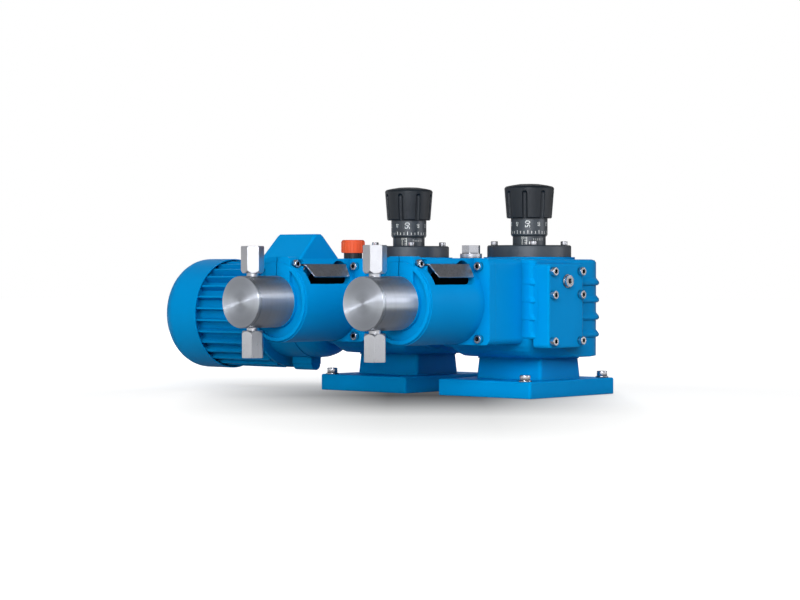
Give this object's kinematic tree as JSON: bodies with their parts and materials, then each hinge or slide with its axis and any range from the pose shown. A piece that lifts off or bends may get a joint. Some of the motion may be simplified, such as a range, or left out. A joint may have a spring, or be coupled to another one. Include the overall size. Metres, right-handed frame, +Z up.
{
  "type": "plunger metering pump",
  "caption": "Duplex plunger metering pump: worm-driven gear housings on feet with stroke knobs, lanterns, pump heads and a flanged motor on one line.",
  "frame": {"origin": "centre of the right foot's bolt pattern, on the floor", "axes": "+Z up, +X along the worm shaft and motor axis away from the motor, -Y the way the pump heads face"},
  "size_m": [0.6374, 0.383, 0.2583],
  "materials": {
    "blue_paint": "satin",
    "black_enamel": "satin",
    "black_grip": "satin",
    "stainless": "brushed",
    "ground_steel": "ground",
    "zinc_plate": "plated",
    "bronze": "machined",
    "orange_cap": "satin",
    "white_packing": "matte"
  },
  "bodies": {
    "pump_frame": {"right_foot": "blue_paint", "right_gear_housing": "blue_paint", "right_lantern": "blue_paint", "right_adjuster_flange": "black_enamel", "right_return_spring": "ground_steel", "right_pump_head": "stainless", "right_discharge_valve": "stainless", "right_suction_valve": "stainless", "left_foot": "blue_paint", "left_gear_housing": "blue_paint", "left_lantern": "blue_paint", "left_adjuster_flange": "black_enamel", "left_return_spring": "ground_steel", "left_pump_head": "stainless", "left_discharge_valve": "stainless", "left_suction_valve": "stainless", "head_caps": "stainless", "packings": "white_packing", "gland_nuts": "stainless", "guide_bushes": "bronze", "window_guards": "stainless", "scale_sleeves": "black_enamel", "side_cover": "blue_paint", "oil_plugs": "zinc_plate", "vent_cap": "orange_cap", "housing_screws": "zinc_plate", "ball_bearings": "ground_steel", "link_adapter": "blue_paint", "motor_adapter": "blue_paint", "motor_frame": "blue_paint", "motor_shields": "blue_paint", "fan_cowl": "blue_paint", "terminal_box": "blue_paint", "terminal_lid": "blue_paint"},
    "drive_line": {"worm_shafts": "ground_steel", "shaft_couplings": "ground_steel", "motor_rotor": "ground_steel", "motor_fan": "black_grip"},
    "right_eccentric": {"right_eccentric_shaft": "ground_steel", "right_worm_wheel": "bronze", "right_eccentric_ring": "ground_steel"},
    "right_rod": {"right_thrust_rod": "ground_steel"},
    "right_adjuster": {"right_knob": "black_grip", "right_thimble": "black_enamel", "right_spindle": "ground_steel"},
    "right_plunger_train": {"right_crosshead": "ground_steel", "right_plunger": "stainless"},
    "right_discharge_ball_body": {"right_discharge_ball": "stainless"},
    "right_suction_ball_body": {"right_suction_ball": "stainless"},
    "left_eccentric": {"left_eccentric_shaft": "ground_steel", "left_worm_wheel": "bronze", "left_eccentric_ring": "ground_steel"},
    "left_rod": {"left_thrust_rod": "ground_steel"},
    "left_adjuster": {"left_knob": "black_grip", "left_thimble": "black_enamel", "left_spindle": "ground_steel"},
    "left_plunger_train": {"left_crosshead": "ground_steel", "left_plunger": "stainless"},
    "left_discharge_ball_body": {"left_discharge_ball": "stainless"},
    "left_suction_ball_body": {"left_suction_ball": "stainless"}
  },
  "joints": [
    {"name": "drive_spin", "type": "hinge", "parent": "pump_frame", "child": "drive_line", "pos_m": [0, -0.041, 0.094], "axis": [1, 0, 0], "continuous": true},
    {"name": "right_wheel_spin", "type": "hinge", "parent": "pump_frame", "child": "right_eccentric", "pos_m": [0, 0.005, 0.094], "axis": [0, 0, 1], "continuous": true},
    {"name": "right_stroke_setting", "type": "slide", "parent": "pump_frame", "child": "right_rod", "axis": [0, 0, 1], "range_m": [-0.0101, 0.0001]},
    {"name": "right_knob_turn", "type": "hinge", "parent": "right_rod", "child": "right_adjuster", "pos_m": [0, 0.005, 0.2], "axis": [0, 0, 1], "range_deg": [-1800, 0]},
    {"name": "right_plunger_slide", "type": "slide", "parent": "pump_frame", "child": "right_plunger_train", "axis": [0, -1, 0], "range_m": [0, 0.015], "stiffness_N_per_m": 3000, "springref_m": -0.006, "deforming": ["right_return_spring"]},
    {"name": "right_discharge_ball_lift", "type": "slide", "parent": "pump_frame", "child": "right_discharge_ball_body", "axis": [0, 0, 1], "range_m": [0, 0.0025]},
    {"name": "right_suction_ball_lift", "type": "slide", "parent": "pump_frame", "child": "right_suction_ball_body", "axis": [0, 0, 1], "range_m": [0, 0.0025]},
    {"name": "left_wheel_spin", "type": "hinge", "parent": "pump_frame", "child": "left_eccentric", "pos_m": [-0.196, 0.005, 0.094], "axis": [0, 0, 1], "continuous": true},
    {"name": "left_stroke_setting", "type": "slide", "parent": "pump_frame", "child": "left_rod", "axis": [0, 0, 1], "range_m": [-0.0101, 0.0001]},
    {"name": "left_knob_turn", "type": "hinge", "parent": "left_rod", "child": "left_adjuster", "pos_m": [-0.196, 0.005, 0.2], "axis": [0, 0, 1], "range_deg": [-1800, 0]},
    {"name": "left_plunger_slide", "type": "slide", "parent": "pump_frame", "child": "left_plunger_train", "axis": [0, -1, 0], "range_m": [0, 0.015], "stiffness_N_per_m": 3000, "springref_m": -0.006, "deforming": ["left_return_spring"]},
    {"name": "left_discharge_ball_lift", "type": "slide", "parent": "pump_frame", "child": "left_discharge_ball_body", "axis": [0, 0, 1], "range_m": [0, 0.0025]},
    {"name": "left_suction_ball_lift", "type": "slide", "parent": "pump_frame", "child": "left_suction_ball_body", "axis": [0, 0, 1], "range_m": [0, 0.0025]}
  ],
  "couplings": [
    {"joint": "right_wheel_spin", "follows": "drive_spin", "ratio": -0.05},
    {"joint": "right_stroke_setting", "follows": "right_knob_turn", "m_per_rad": 0.00031831},
    {"joint": "left_wheel_spin", "follows": "drive_spin", "ratio": -0.05},
    {"joint": "left_stroke_setting", "follows": "left_knob_turn", "m_per_rad": 0.00031831}
  ]
}
